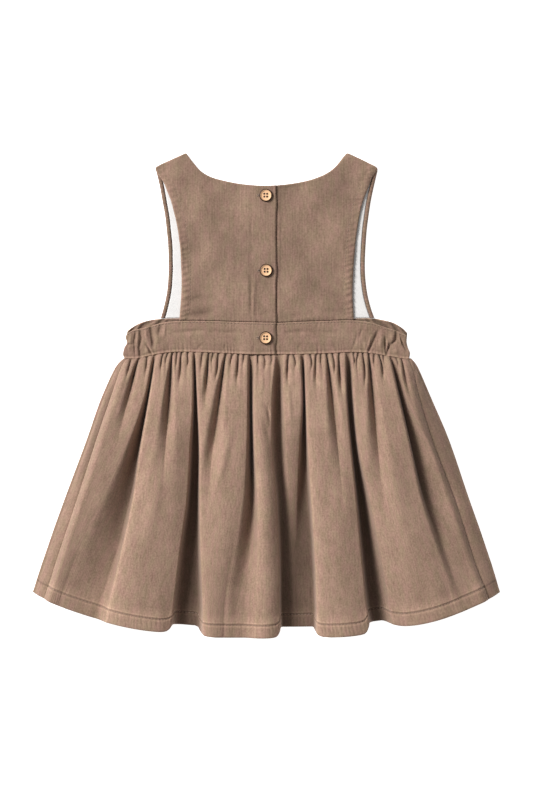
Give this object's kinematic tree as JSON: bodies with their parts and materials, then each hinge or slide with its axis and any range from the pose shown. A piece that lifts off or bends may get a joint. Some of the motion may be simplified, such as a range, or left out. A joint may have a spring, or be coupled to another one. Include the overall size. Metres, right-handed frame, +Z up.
{
  "type": "pinafore dress",
  "caption": "Toddler's sleeveless fine-cord pinafore dress laid flat, with a buttoned back placket, lined bodice, elasticated waistband and gathered skirt.",
  "frame": {"origin": "on the surface the dress lies on, under the middle of its outline", "axes": "+X to the right as the buttoned back is seen, +Y towards the neckline, +Z up out of the surface, through the front and then the back"},
  "size_m": [0.469, 0.4838, 0.0267],
  "materials": {
    "shell": "taupe-brown cotton babycord with a fine wale and a soft brushed nap",
    "lining": "plain-woven off-white cotton, matte",
    "buttons": "light turned wood, satin, with a darker rim"
  },
  "bodies": {
    "root": {"front_bodice": "shell", "front_lining": "lining", "armhole_facing_left": "shell", "armhole_facing_right": "shell", "back_bodice_left": "shell", "back_bodice_right": "shell", "waistband_front": "shell", "waistband_back_left": "shell", "waistband_back_right": "shell", "skirt_front": "shell", "skirt_back": "shell", "button_top": "buttons", "button_middle": "buttons", "button_waist": "buttons"}
  },
  "joints": []
}
